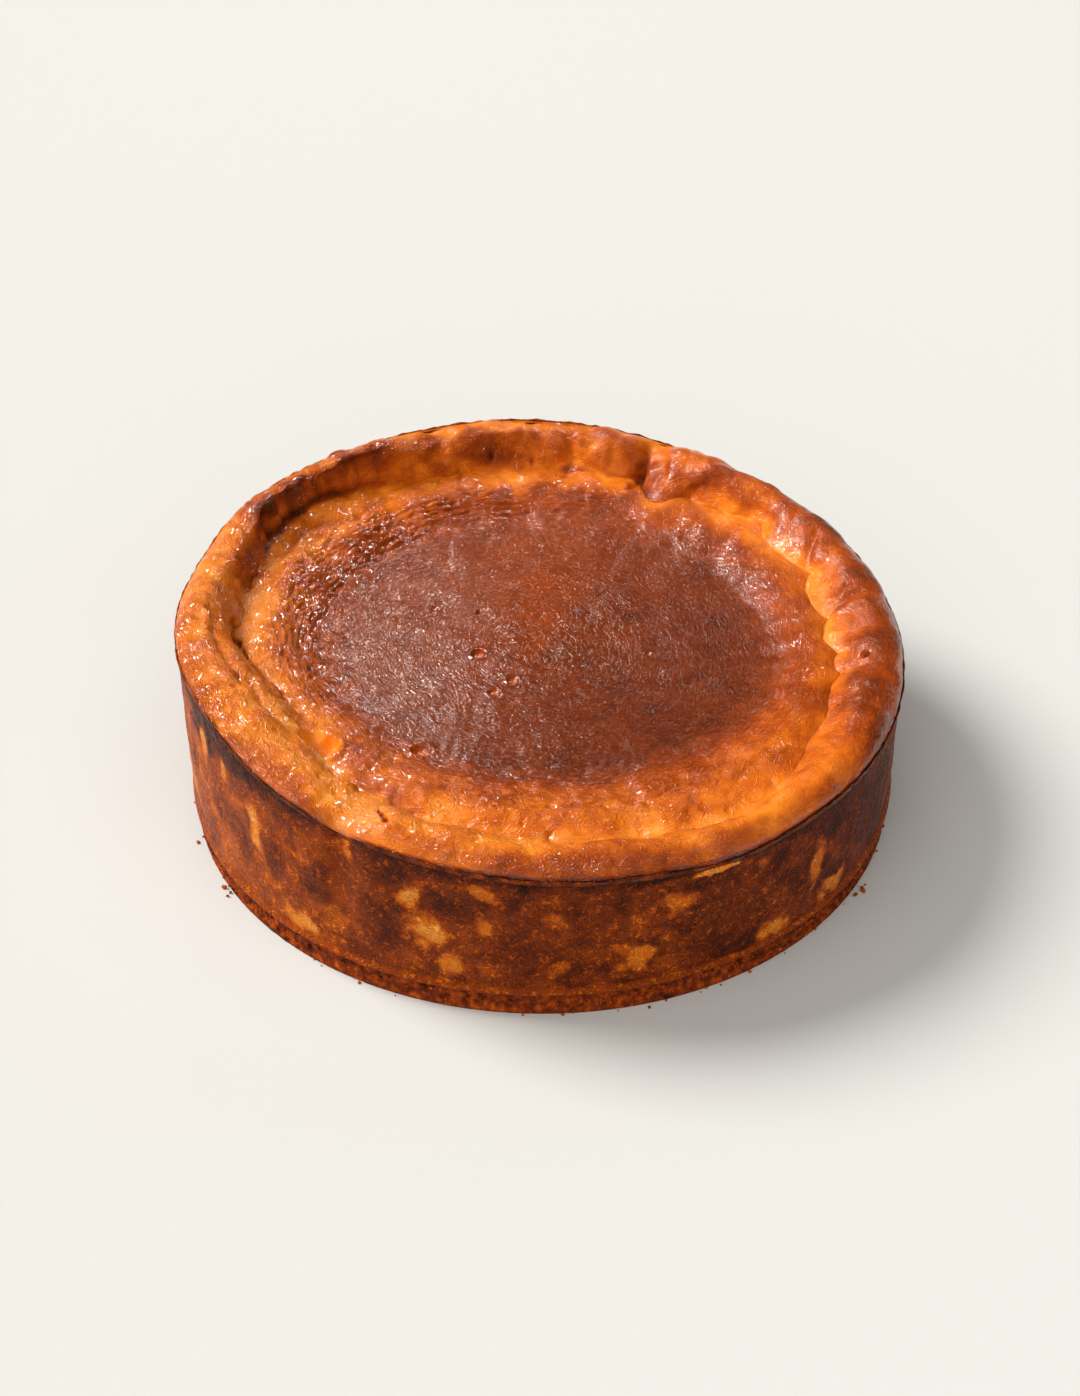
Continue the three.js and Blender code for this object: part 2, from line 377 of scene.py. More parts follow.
# paler and darker smudges: angle, reach, radius, change of browning; at the hollow, those at 223.0 and 219.0
# are painted shade on its right wall and the one at 223.5 a painted highlight on its lower lip
topSmudges = (
    # painted shade on the hollow's right wall at 223.0 and 219.0, painted highlight on its lower lip at 223.5
    (214.5, 0.800, 3.6, -0.12), (223.0, 0.755, 2.4, 0.24), (219.0, 0.728, 2.0, 0.16),
    (223.5, 0.800, 2.6, -0.22), (34.0, 0.30, 4.0, 0.06), (318.0, 0.40, 4.0, 0.06), (345.0, 0.44, 3.5, 0.05),
    (196.0, 0.10, 4.0, 0.04), (60.0, 0.22, 3.0, 0.05), (300.0, 0.34, 4.0, 0.04), (15.0, 0.52, 6.0, 0.04),
    (250.0, 0.80, 4.0, -0.07), (262.0, 0.60, 7.0, 0.04), (290.5, 0.826, 6.0, -0.12),
    (302.0, 0.81, 5.0, -0.10), (174.0, 0.797, 4.0, -0.06), (121.5, 0.945, 4.5, 0.10),
    (94.0, 0.80, 6.0, -0.14), (86.0, 0.79, 4.0, -0.10), (103.0, 0.79, 4.0, -0.10),
    (150.0, 0.80, 4.0, -0.12), (138.0, 0.79, 4.0, -0.10), (48.0, 0.83, 8.0, -0.10),
    (40.0, 0.80, 5.0, -0.08), (234.0, 0.955, 3.0, -0.06), (229.0, 0.80, 4.0, -0.06),
    (110.0, 0.96, 5.0, 0.10), (128.0, 0.97, 5.0, 0.12), (140.0, 0.965, 5.0, 0.12), (150.0, 0.94, 5.0, 0.08),
)


def ringLine(name, angle, lumpy):
    line = around(angle, topShape[name])
    for strength, size, shift, onLumps in topShape["wander"].get(name, ()):
        line = line + strength * (lumpy if onLumps else 1.0) * wobble(angle, size, shift)
    return line


def topProfile(share, angle):
    # reach and height of the top, from its middle (share 0) to the rim's edge (share 1)
    breaks = topShape["breaks"]
    lumpy = around(angle, topShape["lumpy"])
    edgeReach, crestReach, creaseReach, shoulderReach, discReach = [
        ringLine(name + "Reach", angle, lumpy) for name in ("edge", "crest", "crease", "shoulder", "disc")]
    edgeHeight, crestHeight, creaseHeight, shoulderHeight = [
        ringLine(name + "Height", angle, lumpy) for name in ("edge", "crest", "crease", "shoulder")]
    leaning = angle + easeIn(breaks[2], breaks[3], share) * around(angle, topShape["lean"])
    lobes = np.max([
        lobe["rise"] * lobe["form"](apart(leaning, lobe["at"]) / lobe["width"])
        for lobe in topShape["creaseLobes"]], axis=0)
    discReach = np.minimum(discReach, creaseReach - lobes - topShape["narrowestSlope"])
    shoulderReach = np.minimum(shoulderReach, creaseReach - lobes - topShape["narrowestShoulder"])
    discHeight, discRise = topShape["discHeight"], around(angle, topShape["discRise"])
    pinch = np.clip(around(angle, topShape["pinch"]), 0.0, 1.0)
    disc, slope, shoulder, rollIn, rollOut = [
        np.clip((share - low) / (high - low), 0.0, 1.0) for low, high in zip((0.0, *breaks), breaks)]
    # out over the disc and up the slope
    reach = discReach * disc + (shoulderReach - discReach) * slope
    height = discHeight + discRise * disc ** 4
    rise = mix(easeIn(0, 1, slope), np.sin(np.pi / 2 * slope), 0.55)
    height = height + (shoulderHeight - discHeight - discRise) * rise
    # over the shoulder and down into the crease
    turn = np.pi / 2 * shoulder
    reach = reach + (creaseReach - shoulderReach) * mix(shoulder, np.sin(turn), pinch)
    height = height + (creaseHeight - shoulderHeight) * mix(easeIn(0, 1, shoulder), 1 - np.cos(turn), pinch)
    # up the inside of the roll
    turn = np.pi / 2 * rollIn
    reach = reach + (crestReach - creaseReach) * mix(rollIn, 1 - np.cos(turn), pinch)
    reach = reach - lobes * shoulder * (1 - rollIn) ** topShape["lobeFade"]
    height = height + (crestHeight - creaseHeight) * mix(easeIn(0, 1, rollIn), np.sin(turn), pinch)
    # down its outside to the rim's edge
    turn = np.pi / 2 * rollOut
    reach = reach + (edgeReach - crestReach) * np.sin(turn)
    height = height + (edgeHeight - crestHeight) * (1 - np.cos(turn))
    return reach * cakeRadius, height * mm


def makeDrum(rings, lipRows):
    # a flat drum: a disc of even quads with a short wall below its edge
    bm = bmesh.new()
    bmesh.ops.create_grid(bm, x_segments=2 * rings, y_segments=2 * rings, size=1.0)
    for vert in bm.verts:
        x, y = vert.co.x, vert.co.y
        ring = max(abs(x), abs(y))
        if ring == 0.0:
            continue
        turn = math.pi / 4 * (y / x) if abs(x) >= abs(y) else math.pi / 2 - math.pi / 4 * (x / y)
        flip = -1.0 if (x if abs(x) >= abs(y) else y) < 0 else 1.0
        vert.co = Vector((math.cos(turn), math.sin(turn), 0.0)) * ring * flip
    edges = [edge for edge in bm.edges if edge.is_boundary]
    for row in range(lipRows):
        edges = hangRow(bm, edges, 1.0)
    return bm


def makeTube(segments, rows, drop):
    # an open tube, with the edges of its upper and lower rims
    bm = bmesh.new()
    bmesh.ops.create_circle(bm, segments=segments, radius=1.0)
    upper = list(bm.edges)
    lower = upper
    for row in range(rows):
        lower = hangRow(bm, lower, drop)
    return bm, upper, lower


def hangRow(bm, edges, drop):
    made = bmesh.ops.extrude_edge_only(bm, edges=edges)["geom"]
    verts = [item for item in made if isinstance(item, bmesh.types.BMVert)]
    bmesh.ops.translate(bm, verts=verts, vec=(0.0, 0.0, -drop))
    return [edge for edge in made if isinstance(edge, bmesh.types.BMEdge) and edge.is_boundary]


def readDrum(bm):
    return np.array([vert.co for vert in bm.verts])


def drumParts(drum):
    # share of the way from the middle, angle in degrees, and how far down the wall
    share = np.minimum(np.hypot(drum[:, 0], drum[:, 1]), 1.0)
    angle = np.degrees(np.arctan2(drum[:, 1], drum[:, 0])) % 360.0
    return share, angle, np.maximum(-drum[:, 2], 0.0)


def roundPlaces(angle, reach, height):
    turn = np.radians(angle)
    return np.stack([reach * np.cos(turn), reach * np.sin(turn), height], 1)


lipShape = {
    "drop": (0.45, 0.1, 300, (swell(305, 26, 0.3), swell(238.6, 3, -0.6))),  # mm that it hangs over the wall
    "leastDrop": 0.15,
    "flare": (0.05, 0.0, 0, (swell(284, 8, 0.3), swell(316, 18, 0.35))),
    # of each row: share of the drop, mm lower, share of the flare, mm further in
    "rows": (
        (0.0, 0.0, 0.0, 0.0),
        (0.55, 0.0, 0.8, 0.0),
        (1.0, 0.0, 1.0, 0.0),
        (0.75, 0.0, 0.0, 0.45),
        (0.6, 3.0, 0.0, 1.6),
        (0.6, 9.0, 0.0, 3.4),
    ),
}


def placeOnTop(drum):
    share, angle, row = drumParts(drum)
    reach, height = topProfile(share, angle)
    ragged = cloud(drum * (1.0, 1.0, 0.0) * cakeRadius, 3.4, 3, 2.0)
    drop = around(angle, lipShape["drop"]) * (0.75 + 0.55 * ragged)
    flare = around(angle, lipShape["flare"]) * (0.6 + 0.7 * ragged)
    hang, lower, reachOut, tuck = np.array(lipShape["rows"])[row.astype(int)].T
    height = height - (hang * np.maximum(drop, lipShape["leastDrop"]) + lower) * mm
    reach = reach + (reachOut * flare - tuck) * mm
    return roundPlaces(angle, reach, height)


def spotGap(plan, angle, reach, radius):
    # distance of each plan point from a spot, in radii of the spot
    return np.linalg.norm(plan - planPoint(angle, reach), axis=1) / (radius * mm)


def lineGap(plan, ends, halfWidth):
    # distance of each plan point from a straight stretch, in half widths
    fromAngle, fromReach, toAngle, toReach = ends
    return nearLine(plan, planPoint(fromAngle, fromReach), planPoint(toAngle, toReach)) / (halfWidth * mm)


def refineBubbles(bm):
    # a finer mesh at the widest bubbles and at the split in the roll
    spots = [bubble[:3] for bubble in topBubbles[:topShape["fineBubbles"]]] + [topShape["fineSplit"]]
    for margin in (1.6, 0.7):  # mm
        drum = readDrum(bm)
        plan = placeOnTop(drum)[:, :2]
        near = np.zeros(len(plan), bool)
        for angle, reach, radius in spots:
            near |= spotGap(plan, angle, reach, radius) < 1.15 + margin / radius
        near &= drum[:, 2] > -0.5
        bm.verts.index_update()
        edges = [edge for edge in bm.edges if near[edge.verts[0].index] and near[edge.verts[1].index]]
        bmesh.ops.subdivide_edges(bm, edges=edges, cuts=1, use_grid_fill=True)


def readNormals(mesh):
    normals = np.zeros(len(mesh.vertices) * 3)
    mesh.vertices.foreach_get("normal", normals)
    return normals.reshape(-1, 3)


def setPlaces(mesh, place):
    mesh.vertices.foreach_set("co", place.ravel())
    mesh.update()


def pushOut(mesh, place, move):
    # moves each vertex along the skin's normal, by mm
    place = place + readNormals(mesh) * (move * mm)[:, None]
    setPlaces(mesh, place)
    return place


def setMark(mesh, name, values):
    mesh.attributes.new(name, "FLOAT", "POINT").data.foreach_set("value", values.astype(np.float32))


# the top's skin: lumps, pillows, pits and terraces, with sizes and depths in mm
topSkin = {
    "lumps": (  # size, depth on the roll, depth on the disc
        (17.0, 0.9, 0.26), (7.5, 0.50, 0.12), (4.0, 0.34, 0.05), (2.0, 0.12, 0.02)),
    "pillows": (13.0, 1.3),  # rounded lumps with creases between them, on the roll
    "pillowed": (0.70, 0.25, 150, (
        swell(285, 26, -0.3), swell(95, 20, 0.5), swell(145, 22, 0.4), swell(190, 16, 0.3))),
    "pits": (3.8, 1.1),  # small pits on the shoulder and in the crease
    "pitted": (0.6, 0.4, 210, (swell(280, 40, 0.3),)),
    "terraceSpacing": 2.2,
    "terraceWarp": 2.4,
    "terraceDepth": 1.0,
    "terraced": (0.55, 0.2, 180, (swell(150, 34, 0.5), swell(275, 50, 0.5), swell(36, 30, -0.25))),
    "terracedDisc": 0.12,
    "crinkledRoll": (0.56, 0.50, 200, (swell(280, 34, 0.22), swell(100, 30, 0.20))),
    "crinkledSlope": 0.75,
    "crinkledDisc": (0.55, 1.05),  # at its right, at its left
    "crinkleRange": (0.33, 1.3),
    "wrinklePath": (0.0, 0.074, 0.094, 0.105, 0.118, 0.131),  # m along the skin from the middle to each break
    "evenMiddle": 0.034,  # within this, in m, the wrinkles run every way
}
# how far each loop of the top has browned, from raw custard (0) to scorched (1), with painted shade in the
# crease, grooves, scars and pits and painted highlight and shade on the terraces
topBake = {
    "disc": (0.765, 0.03, 325, (swell(92, 30, -0.05),)),
    "slopeFoot": (0.68, 0.03, 330, (swell(38, 24, 0.07),)),
    "slope": (0.575, 0.03, 10, (
        swell(260, 30, -0.03), swell(200, 24, -0.04), swell(74, 8, 0.1), swell(38, 24, 0.06))),
    "shoulder": (0.37, 0.04, 350, (
        swell(300, 30, 0.03), swell(213, 14, -0.04), swell(116, 14, 0.05), swell(168, 16, -0.03),
        swell(15, 22, 0.08), swell(240, 8, 0.10), swell(145, 12, 0.06), swell(332, 12, 0.12),
        swell(58, 12, 0.06), swell(225, 5, 0.12))),
    # near 140 the crease, creaseShade, wall, crest and rollOut swells darken the back-left roll, partly its
    # deep browning and partly painted shade on its inner face
    "crease": (0.30, 0.04, 190, (
        swell(285, 22, -0.08), swell(93, 16, 0.06), swell(217, 9, -0.08), swell(62, 8, 0.16),
        swell(8, 10, -0.06), swell(184, 18, 0.05), swell(226, 20, 0.04), swell(330, 14, 0.14),
        swell(140, 16, 0.16))),
    # painted shade down the crease, deepest under the back-left roll
    "creaseShade": (0.06, 0.0, 0, (
        swell(188, 6, 0.06), swell(140, 16, 0.34), swell(68, 5, 0.3), swell(84, 4, 0.15), swell(222, 5, 0.04),
        swell(350, 5, 0.12), swell(40, 7, 0.04))),
    "wall": (0.45, 0.08, 30, (
        swell(285, 30, -0.06), swell(142, 20, 0.24), swell(217, 9, -0.06), swell(99, 6, 0.22),
        swell(38, 9, 0.04), swell(66, 8, 0.10), swell(80, 6, -0.1), swell(238, 8, -0.12),
        swell(352, 12, 0.12))),
    "crest": (0.47, 0.15, 10, (
        swell(222, 26, -0.03), swell(144, 20, 0.20), swell(265, 22, -0.13), swell(312, 16, -0.22),
        swell(235, 10, -0.02), swell(205, 14, 0.05), swell(130, 16, 0.10), swell(92, 14, 0.10),
        swell(66, 8, -0.14), swell(345, 16, 0.10))),
    "rollOut": (0.48, 0.08, 345, (
        swell(142, 16, 0.12), swell(168, 12, -0.12), swell(104, 14, -0.14), swell(204, 10, 0.12),
        swell(290, 18, 0.06), swell(36, 18, 0.18), swell(70, 10, -0.18), swell(335, 16, 0.10),
        swell(311, 12, -0.12), swell(238.8, 2.6, -0.14))),
    # the edge darkens the last of the roll, partly its scorched rim and partly painted shade under the roll
    "edge": (0.76, 0.08, 300, (swell(130, 50, -0.22), swell(239, 3.0, -0.42))),
    "blotches": ((16.0, 0.03, 0.06), (5.5, 0.02, 0.05)),  # size, strength on the disc, strength outside it
    "lumpShade": 0.12,
    # painted highlight on raised terrace steps and painted shade on low ones
    "terraceShade": 0.16,
    # painted shade in grooves, scars and shoulder pits
    "grooveShade": 0.12,
    "bubbleShade": -0.16,
    # painted shade in pits
    "pitShade": 0.14,
    "palest": 0.27,  # below this the browning levels off
    "hollow": 0.24,
}


def lumpySkin(place, share, angle, onDisc):
    # how far lumps of each size lift the skin, and pillows with sharp creases between them
    lumps = 0.0
    lumpy = around(angle, topShape["lumpy"])
    for index, (size, rollDepth, discDepth) in enumerate(topSkin["lumps"]):
        depth = mix(rollDepth * (lumpy if index else 1.0), discDepth, onDisc)
        lumps = lumps + depth * cloud(place, size, 2, 5.0 * index)
    size, depth = topSkin["pillows"]
    pillow = np.abs(cloud(place, size, 1, 31.0) + 0.25 * cloud(place, size / 2.2, 1, 33.0))
    pillow = np.minimum(pillow, 0.45 + 0.2 * pillow) - 0.3
    onRoll = easeIn(topShape["breaks"][1], topShape["breaks"][2], share)
    return lumps + depth * pillow * onRoll * around(angle, topSkin["pillowed"])


def shoulderPits(place, share, angle):
    # where the small pits are, about 0 to 1
    disc, slope = topShape["breaks"][:2]
    pits = easeIn(0.28, 0.62, cloud(place, topSkin["pits"][0], 1, 41.0))
    pits = pits * (0.6 + 0.6 * cloud(place, 20.0, 1, 43.0))
    onShoulder = easeIn(1.2 * disc, slope, share) * (1 - easeIn(0.80, 0.9, share))
    return pits * onShoulder * around(angle, topSkin["pitted"])


def slopeTerraces(flat, share, angle, onDisc):
    # broken steps that ring the slope, deepest at the left and the front: their height and depth
    disc, slope = topShape["breaks"][:2]
    ringed = np.linalg.norm(flat, axis=1) / mm
    ringed = ringed + topSkin["terraceWarp"] * cloud(flat, 13.0, 2, 1.0) + 0.7 * cloud(flat, 4.2, 2, 2.0)
    saw = 1.0 - (ringed / topSkin["terraceSpacing"]) % 1.0
    step = saw ** 1.4 - easeIn(0.80, 1.0, saw) + 0.45 * cloud(flat, 2.2, 1, 12.0)
    broken = easeIn(-0.35, 0.45, cloud(flat, 7.0, 2, 8.0))
    onSlope = easeIn(0.70 * disc, 1.08 * disc, share) * (1 - easeIn(0.90 * slope, 1.06 * slope, share))
    onSlope = onSlope * np.clip(around(angle, topSkin["terraced"]), 0, 1.2)
    depth = onSlope * (0.35 + 0.65 * broken) + topSkin["terracedDisc"] * onDisc * broken
    return step, topSkin["terraceDepth"] * depth


def cutTop(plan, flat):
    # how far grooves, hollows and bubbles move the skin, the painted shade in grooves, scars and pits, the
    # bubbles' paler insides, and where it is smooth
    move, recessShade, bubbleToneAndPitShade, smooth = np.zeros((4, len(plan)))
    ragged = 0.35 * cloud(flat, 3.0, 1, 4.0)
    for *ends, halfWidth, depth in topGrooves:
        weight = bell(lineGap(plan, ends, halfWidth) + ragged / halfWidth)
        move = move - depth * weight
        recessShade = np.maximum(recessShade, weight * np.clip(depth / 2.5, 0, 1))
    for *ends, halfWidth, tone in topScars:
        weight = bell(lineGap(plan, ends, halfWidth) ** 2)
        recessShade = np.maximum(recessShade, tone / topBake["grooveShade"] * weight)
    for angle, reach, radius, depth in topHollows:
        gap = spotGap(plan, angle, reach, radius)
        move = move - depth * bell(gap ** 2) + 0.12 * depth * bell((gap - 1.25) / 0.22)
        smooth = np.maximum(smooth, (depth > 2) * (1 - easeIn(1.0, 1.5, gap)))
    for angle, reach, radius, depth, rim in topBubbles:
        gap = spotGap(plan, angle, reach, radius)
        bowl = 1 - easeIn(0.35, 1.0, gap)
        move = move - depth * bowl + rim * bell((gap - 1.15) / 0.2)
        bubbleToneAndPitShade = bubbleToneAndPitShade + bowl * topBake["bubbleShade" if rim else "pitShade"]
    return move, recessShade, bubbleToneAndPitShade, smooth


def bakeTop(share, angle, place, relief, steps):
    # browning from loop to loop of the top, darker on its lumps, with painted shade along the crease, and
    # painted highlight on raised steps with painted shade on low ones
    disc, slope, shoulder, rollIn, rollOut = topShape["breaks"]
    path = (
        (0.0, "disc"), (0.9 * disc, "disc"), (disc, "slopeFoot"), ((disc + slope) / 2, "slope"),
        ((slope + shoulder) / 2, "shoulder"), (shoulder, "crease"), (mix(shoulder, rollIn, 0.45), "wall"),
        (rollIn, "crest"), (mix(rollIn, rollOut, 0.5), "rollOut"), (0.968, "rollOut"), (0.998, "edge"))
    tone = around(angle, topBake["disc"])
    wander = share + 0.018 * cloud(place, 9.0, 2, 6.0) * (1 - easeIn(0.9, 1.0, share))
    for (inner, innerName), (outer, outerName) in zip(path, path[1:]):
        change = around(angle, topBake[outerName]) - around(angle, topBake[innerName])
        tone = tone + change * easeIn(inner, outer, wander)
    # painted shade along the crease
    tone = tone + around(angle, topBake["creaseShade"]) * bell((share - shoulder - 0.008) / 0.020)
    outside = easeIn(0.9 * disc, slope, share)
    for index, (size, onDisc, onRest) in enumerate(topBake["blotches"]):
        tone = tone + mix(onDisc, onRest, outside) * cloud(place, size, 3, 11.0 + index)
    # lumps darker where they browned; the terrace steps get painted highlight and painted shade
    return tone + topBake["lumpShade"] * relief * outside - topBake["terraceShade"] * steps


def smudgeTop(browning, plan, place):
    ragged = 0.35 * cloud(place, 4.0, 2, 14.0)
    for angle, reach, radius, tone in topSmudges:
        browning = browning + tone * (1 - easeIn(0.2, 1.2, spotGap(plan, angle, reach, radius) + ragged))
    return browning


def markWrinkles(mesh, plan, place, share, angle, smooth):
    # where the skin is crinkled or taut, and how far along it each place is
    breaks = topShape["breaks"]
    across = np.interp(share, (0.0, *breaks), topSkin["wrinklePath"])
    setMark(mesh, "across", np.hypot(across, topSkin["evenMiddle"]))
    onDisc = 1 - easeIn(0.7 * breaks[0], breaks[1], share)
    setMark(mesh, "onDisc", onDisc)
    # the left of the disc is crinkled and the right of it taut
    atLeft = 0.5 - 0.5 * np.clip(plan[:, 0] / mm / 42.0 + 0.3 * cloud(place, 30.0, 2, 7.0), -1, 1)
    onSlope = topSkin["crinkledSlope"] * (1 - easeIn(breaks[1], breaks[2], share))
    onRoll = np.maximum(around(angle, topSkin["crinkledRoll"]), onSlope)
    crinkle = mix(onRoll, mix(*topSkin["crinkledDisc"], atLeft), onDisc)
    crinkle = crinkle * (1 + mix(0.45, 0.25, onDisc) * cloud(place, 9.0, 2, 5.0))
    setMark(mesh, "crinkle", np.clip(crinkle, *topSkin["crinkleRange"]) * (1 - 0.9 * smooth))


def shapeTop(mesh, drum):
    share, angle, row = drumParts(drum)
    place = placeOnTop(drum)
    setPlaces(mesh, place)
    plan, flat = place[:, :2], place * (1.0, 1.0, 0.0)
    disc = topShape["breaks"][0]
    onDisc = 1 - easeIn(0.85 * disc, 1.15 * disc, share)
    lumps = lumpySkin(place, share, angle, onDisc)
    pits = shoulderPits(place, share, angle)
    step, terraceDepth = slopeTerraces(flat, share, angle, onDisc)
    cuts, recessShade, bubbleToneAndPitShade, smooth = cutTop(plan, flat)
    move = lumps - topSkin["pits"][1] * pits + (step - 0.4) * terraceDepth + cuts
    steady = (row < 1.0) * (1 - easeIn(0.955, 0.997, share))  # the rim's edge stays where it is
    place = pushOut(mesh, place, move * steady)
    relief = np.clip(lumps, -1.5, 1.5) * (1 - onDisc)
    browning = bakeTop(share, angle, place, relief, (step - 0.45) * terraceDepth)
    palest = topBake["palest"]
    browning = np.where(browning < palest, mix(palest, browning, 0.35), browning)
    browning = mix(browning, topBake["hollow"] + 0.05 * lumps, smooth * 0.8)
    browning = smudgeTop(browning, plan, place)
    # painted shade in grooves, scars and shoulder pits
    shade = topBake["grooveShade"] * np.maximum(recessShade, 0.7 * pits)
    setMark(mesh, "browning", browning + shade + bubbleToneAndPitShade)
    markWrinkles(mesh, plan, place, share, angle, smooth)


def editMesh(piece, change):
    bm = bmesh.new()
    bm.from_mesh(piece.data)
    change(bm)
    bm.to_mesh(piece.data)
    bm.free()


def openRim(bm):
    return [edge for edge in bm.edges if edge.is_boundary]


def closeWithin(bm, edges, shrink, level):
    # turns an open rim in and down to a flat cap inside the cake
    made = bmesh.ops.extrude_edge_only(bm, edges=edges)["geom"]
    verts = [item for item in made if isinstance(item, bmesh.types.BMVert)]
    bmesh.ops.scale(bm, verts=verts, vec=(shrink, shrink, 0.0))
    bmesh.ops.translate(bm, verts=verts, vec=(0.0, 0.0, level * mm))
    rim = [item for item in made if isinstance(item, bmesh.types.BMEdge) and item.is_boundary]
    bmesh.ops.contextual_create(bm, geom=rim)


def turnOut(bm):
    bmesh.ops.recalc_face_normals(bm, faces=bm.faces)


def finishPiece(piece, material, node):
    editMesh(piece, turnOut)
    piece.data.shade_smooth()
    piece.data.materials.append(material)
    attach(piece, "root")
    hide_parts(node)
    triangles = sum(len(polygon.vertices) - 2 for polygon in piece.data.polygons)
    print(piece.name, triangles, "triangles")


# the baked skin's colours and wrinkles, for the top, the wall and the crumbs
bakeColours = (  # from raw custard to scorched skin
    (0.00, (0.86, 0.45, 0.14)),
    (0.14, (0.88, 0.318, 0.040)),
    (0.30, (0.80, 0.202, 0.011)),
    (0.45, (0.56, 0.110, 0.006)),
    (0.58, (0.34, 0.052, 0.004)),
    (0.70, (0.19, 0.029, 0.004)),
    (0.84, (0.075, 0.0115, 0.003)),
    (1.00, (0.018, 0.005, 0.003)),
)


def addNode(tree, kind, **settings):
    node = tree.nodes.new(kind)
    for name, value in settings.items():
        setattr(node, name, value)
    return node


def feed(tree, socket, value):
    if isinstance(value, (int, float)):
        socket.default_value = value
    elif value is not None:
        tree.links.new(value, socket)


def mathNode(tree, operation, first, second=None):
    node = addNode(tree, "ShaderNodeMath", operation=operation)
    feed(tree, node.inputs[0], first)
    feed(tree, node.inputs[1], second)
    return node.outputs[0]


def mixNumbers(tree, factor, first, second):
    node = addNode(tree, "ShaderNodeMix", data_type="FLOAT")
    feed(tree, node.inputs[0], factor)
    feed(tree, node.inputs[2], first)
    feed(tree, node.inputs[3], second)
    return node.outputs[0]


def addNoise(tree, vector, size, detail):
    node = addNode(tree, "ShaderNodeTexNoise")
    feed(tree, node.inputs["Vector"], vector)
    node.inputs["Scale"].default_value = 1000.0 / size
    node.inputs["Detail"].default_value = detail
    return node.outputs["Fac"]


def newGroup(name, inputs, outputs):
    group = bpy.data.node_groups.new(name, "ShaderNodeTree")
    for socketName, kind, value in inputs:
        socket = group.interface.new_socket(name=socketName, in_out="INPUT", socket_type=kind)
        if value is not None:
            socket.default_value = value
    for socketName, kind in outputs:
        group.interface.new_socket(name=socketName, in_out="OUTPUT", socket_type=kind)
    return group, group.nodes.new("NodeGroupInput").outputs, group.nodes.new("NodeGroupOutput").inputs


def makeWrinkleGroup():
    # short curled wrinkles, raised like threads
    inputs = (
        ("Vector", "NodeSocketVector", None),
        ("Size", "NodeSocketFloat", 2.0),
        ("Curl", "NodeSocketFloat", 0.5),
        ("Width", "NodeSocketFloat", 0.05),
    )
    group, given, result = newGroup("skinWrinkles", inputs, [("Ridges", "NodeSocketFloat")])
    field = addNode(group, "ShaderNodeTexNoise")
    field.inputs["Detail"].default_value = 1.0
    feed(group, field.inputs["Vector"], given["Vector"])
    feed(group, field.inputs["Scale"], mathNode(group, "DIVIDE", 1000.0, given["Size"]))
    feed(group, field.inputs["Distortion"], given["Curl"])
    away = mathNode(group, "SUBTRACT", field.outputs["Fac"], 0.5)
    away = mathNode(group, "DIVIDE", away, given["Width"])
    near = mathNode(group, "SUBTRACT", 1.0, mathNode(group, "MULTIPLY", away, away))
    near = mathNode(group, "MAXIMUM", near, 0.0)
    feed(group, result["Ridges"], mathNode(group, "MULTIPLY", near, near))
    return group


def makeBakeGroup():
    # the colour that custard skin bakes to
    group, given, result = newGroup(
        "bakeColour", [("Browning", "NodeSocketFloat", 0.5)], [("Color", "NodeSocketColor")])
    ramp = addNode(group, "ShaderNodeValToRGB")
    stops = ramp.color_ramp.elements
    while len(stops) < len(bakeColours):
        stops.new(0.5)
    for stop, (place, colour) in zip(stops, bakeColours):
        stop.position = place
        stop.color = (*colour, 1.0)
    feed(group, ramp.inputs["Fac"], given["Browning"])
    feed(group, result["Color"], ramp.outputs["Color"])
    return group


skinWrinkles = makeWrinkleGroup()
bakeColour = makeBakeGroup()


def addWrinkles(tree, vector, size, curl, width):
    node = addNode(tree, "ShaderNodeGroup", node_tree=skinWrinkles)
    feed(tree, node.inputs["Vector"], vector)
    node.inputs["Size"].default_value = size
    node.inputs["Curl"].default_value = curl
    node.inputs["Width"].default_value = width
    return node.outputs["Ridges"]


def addDots(tree, vector, spacing, share, depth):
    # small raised dots, more of them in some places than in others
    cells = addNode(tree, "ShaderNodeTexVoronoi")
    feed(tree, cells.inputs["Vector"], vector)
    cells.inputs["Scale"].default_value = 1000.0 / spacing
    near = mathNode(tree, "SUBTRACT", 1.0, mathNode(tree, "DIVIDE", cells.outputs["Distance"], share))
    many = mathNode(tree, "MULTIPLY", mathNode(tree, "SUBTRACT", addNoise(tree, vector, 9.0, 1.0), 0.42), 5.0)
    many = mathNode(tree, "MINIMUM", mathNode(tree, "MAXIMUM", many, 0.0), 1.0)
    near = mathNode(tree, "MULTIPLY", mathNode(tree, "MAXIMUM", near, 0.0), many)
    return mathNode(tree, "MULTIPLY", near, depth)


def addTogether(tree, *parts):
    # the sum of values, each with its own strength
    total = 0.0
    for value, strength in parts:
        total = mathNode(tree, "ADD", total, mathNode(tree, "MULTIPLY", value, strength))
    return total


def startMaterial(name, marks):
    material = bpy.data.materials.new(name)
    material.use_nodes = True
    tree = material.node_tree
    place = addNode(tree, "ShaderNodeTexCoord").outputs["Object"]
    found = [addNode(tree, "ShaderNodeAttribute", attribute_name=mark).outputs["Fac"] for mark in marks]
    return material, tree, tree.nodes["Principled BSDF"], place, found


def addBump(tree, shader, height, depth):
    bump = addNode(tree, "ShaderNodeBump")
    bump.inputs["Distance"].default_value = depth * mm
    bump.inputs["Strength"].default_value = 1.0
    feed(tree, bump.inputs["Height"], height)
    feed(tree, shader.inputs["Normal"], bump.outputs[0])


